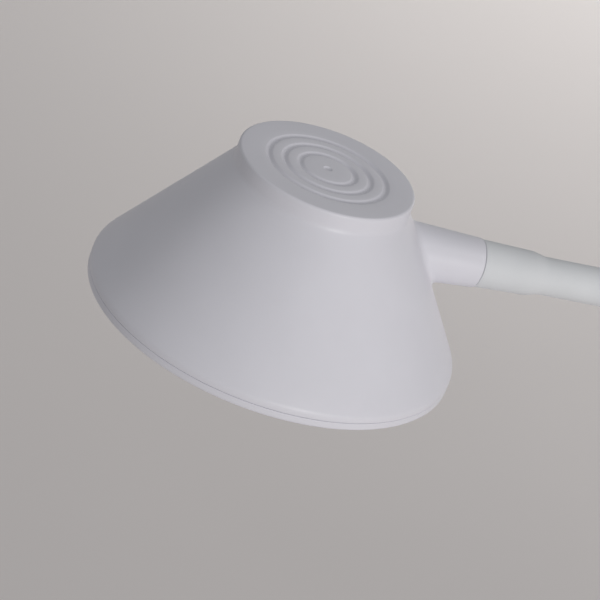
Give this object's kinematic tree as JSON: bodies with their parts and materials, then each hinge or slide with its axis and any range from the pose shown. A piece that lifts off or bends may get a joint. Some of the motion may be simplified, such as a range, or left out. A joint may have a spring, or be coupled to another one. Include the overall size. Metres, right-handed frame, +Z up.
{
  "type": "clip-on reading lamp",
  "caption": "Rechargeable reading lamp with a wide cone shade on a bendable sleeved arm, held to a shelf or board edge by a sprung clip.",
  "frame": {"origin": "centre of the upper jaw pad's gripping face, which rests on the shelf or board the clip holds", "axes": "+Z up out of the shelf and along the foot of the arm; -X towards the mouth of the clip and the shade; +X towards the squeeze handles; Y across the clip, which is its plane of symmetry"},
  "size_m": [0.3114, 0.11, 0.4003],
  "materials": {
    "shade_plastic": "fine satin injection-moulded ABS, cool white",
    "bezel_plastic": "fine satin ABS, cool white",
    "opal_diffuser": "satin opal polycarbonate, lets light through",
    "reflector_white": "gloss white reflector",
    "board_white": "white solder mask on an aluminium core",
    "led_chip": "phosphor-yellow light chip",
    "heat_aluminium": "mill finish",
    "zinc_steel": "zinc-plated steel",
    "silicone": "matte white silicone sleeve",
    "gooseneck_steel": "wound steel gooseneck",
    "lead_jacket": "black lead jacket",
    "clip_plastic": "fine satin ABS, cool white",
    "pad_rubber": "ribbed grey silicone rubber",
    "spring_steel": "oiled music wire",
    "black_steel": "blackened spring steel",
    "battery_wrap": "blue shrink wrap",
    "board_green": "green solder mask",
    "socket_steel": "stamped stainless shell",
    "switch_black": "black switch body",
    "button_plastic": "satin white keycap",
    "clear_lens": "clear light pipe"
  },
  "bodies": {
    "clip": {"clip_base": "clip_plastic", "clip_cover": "clip_plastic", "upper_pad": "pad_rubber", "hinge_pin": "zinc_steel", "pin_ring": "black_steel", "torsion_spring": "spring_steel", "case_screws": "zinc_steel", "battery": "battery_wrap", "control_board": "board_green", "board_screws": "zinc_steel", "usb_socket": "socket_steel", "push_switch": "switch_black", "status_led": "led_chip", "status_lens": "clear_lens", "arm_collar": "clip_plastic", "base_ferrule": "zinc_steel", "base_nut": "zinc_steel", "base_washer": "zinc_steel", "arm_sleeve_1": "silicone", "arm_core_1": "gooseneck_steel", "arm_lead_1": "lead_jacket"},
    "lower_jaw": {"lower_jaw": "clip_plastic", "lower_pad": "pad_rubber"},
    "power_button": {"power_button": "button_plastic"},
    "arm_link_1": {"arm_sleeve_2": "silicone", "arm_core_2": "gooseneck_steel", "arm_lead_2": "lead_jacket"},
    "arm_link_2": {"arm_sleeve_3": "silicone", "arm_core_3": "gooseneck_steel", "arm_lead_3": "lead_jacket"},
    "arm_link_3": {"arm_sleeve_4": "silicone", "arm_core_4": "gooseneck_steel", "arm_lead_4": "lead_jacket"},
    "arm_link_4": {"arm_sleeve_5": "silicone", "arm_core_5": "gooseneck_steel", "arm_lead_5": "lead_jacket"},
    "arm_link_5": {"arm_sleeve_6": "silicone", "arm_core_6": "gooseneck_steel", "arm_lead_6": "lead_jacket"},
    "head": {"arm_sleeve_7": "silicone", "arm_core_7": "gooseneck_steel", "arm_lead_7": "lead_jacket", "shade": "shade_plastic", "diffuser_bezel": "bezel_plastic", "diffuser": "opal_diffuser", "reflector": "reflector_white", "led_board": "board_white", "led_chips": "led_chip", "heat_spreader": "heat_aluminium", "light_screws": "zinc_steel", "head_ferrule": "zinc_steel", "head_nut": "zinc_steel", "head_washer": "zinc_steel"}
  },
  "joints": [
    {"name": "arm_bend_1", "type": "hinge", "parent": "clip", "child": "arm_link_1", "pos_m": [0, 0, 0.0713], "axis": [1, 0, 0], "range_deg": [-30, 30]},
    {"name": "arm_bend_2", "type": "hinge", "parent": "arm_link_1", "child": "arm_link_2", "pos_m": [0, 0, 0.1163], "axis": [0, 1, 0], "range_deg": [-30, 30]},
    {"name": "arm_bend_3", "type": "hinge", "parent": "arm_link_2", "child": "arm_link_3", "pos_m": [0, 0, 0.1613], "axis": [-1, 0, 0], "range_deg": [-30, 30]},
    {"name": "arm_bend_4", "type": "hinge", "parent": "arm_link_3", "child": "arm_link_4", "pos_m": [0, 0, 0.2063], "axis": [0, -1, 0], "range_deg": [-30, 30]},
    {"name": "arm_bend_5", "type": "hinge", "parent": "arm_link_4", "child": "arm_link_5", "pos_m": [-0.02021, 0, 0.26945], "axis": [0.8141, 0, 0.5807], "range_deg": [-30, 30]},
    {"name": "arm_bend_6", "type": "hinge", "parent": "arm_link_5", "child": "head", "pos_m": [-0.07334, 0, 0.30912], "axis": [0, 1, 0], "range_deg": [-30, 30]},
    {"name": "jaw_hinge", "type": "hinge", "parent": "clip", "child": "lower_jaw", "pos_m": [0.036, 0, -0.006], "axis": [0, -1, 0], "range_deg": [0, 26], "stiffness_Nm_per_rad": 1.2, "springref_deg": -28.65, "deforming": ["torsion_spring"]},
    {"name": "button_press", "type": "slide", "parent": "clip", "child": "power_button", "axis": [0, 0, -1], "range_m": [0, 0.0008], "stiffness_N_per_m": 900, "springref_m": -0.0006}
  ]
}
